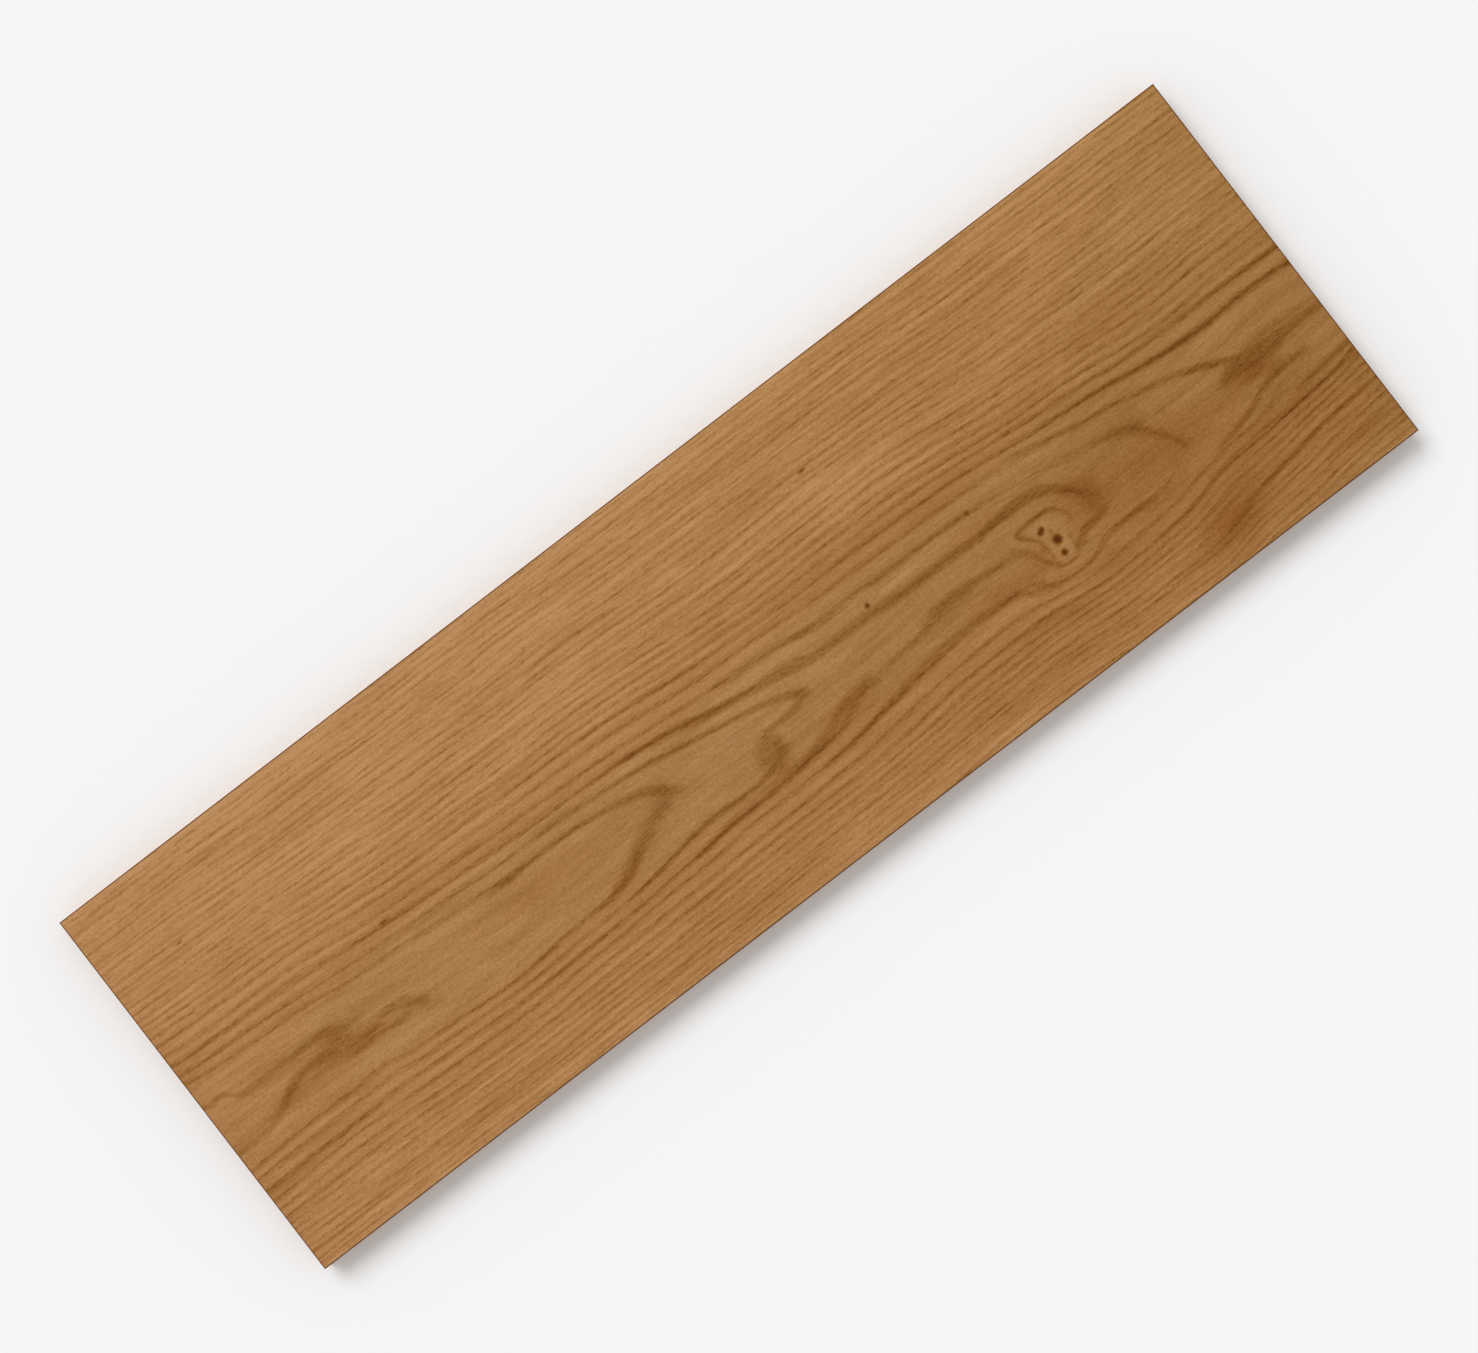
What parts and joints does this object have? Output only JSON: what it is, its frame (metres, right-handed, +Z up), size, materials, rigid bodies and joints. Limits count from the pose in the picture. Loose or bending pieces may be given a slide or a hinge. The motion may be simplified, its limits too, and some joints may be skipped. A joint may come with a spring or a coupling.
{
  "type": "parquet block",
  "caption": "Flat rectangular solid oak parquet block with fine face bevels and a loose-tongue groove round its edges, for a herringbone floor.",
  "frame": {"origin": "centre of the block's outline, on its underside", "axes": "+X along the length and the grain, +Y across the width, +Z up out of the face"},
  "size_m": [0.6, 0.19, 0.015],
  "materials": {
    "oak": "matt clear finish on the face, milled bare wood on the edges and the underside"
  },
  "bodies": {
    "root": {"parquet_block": "oak"}
  },
  "joints": []
}
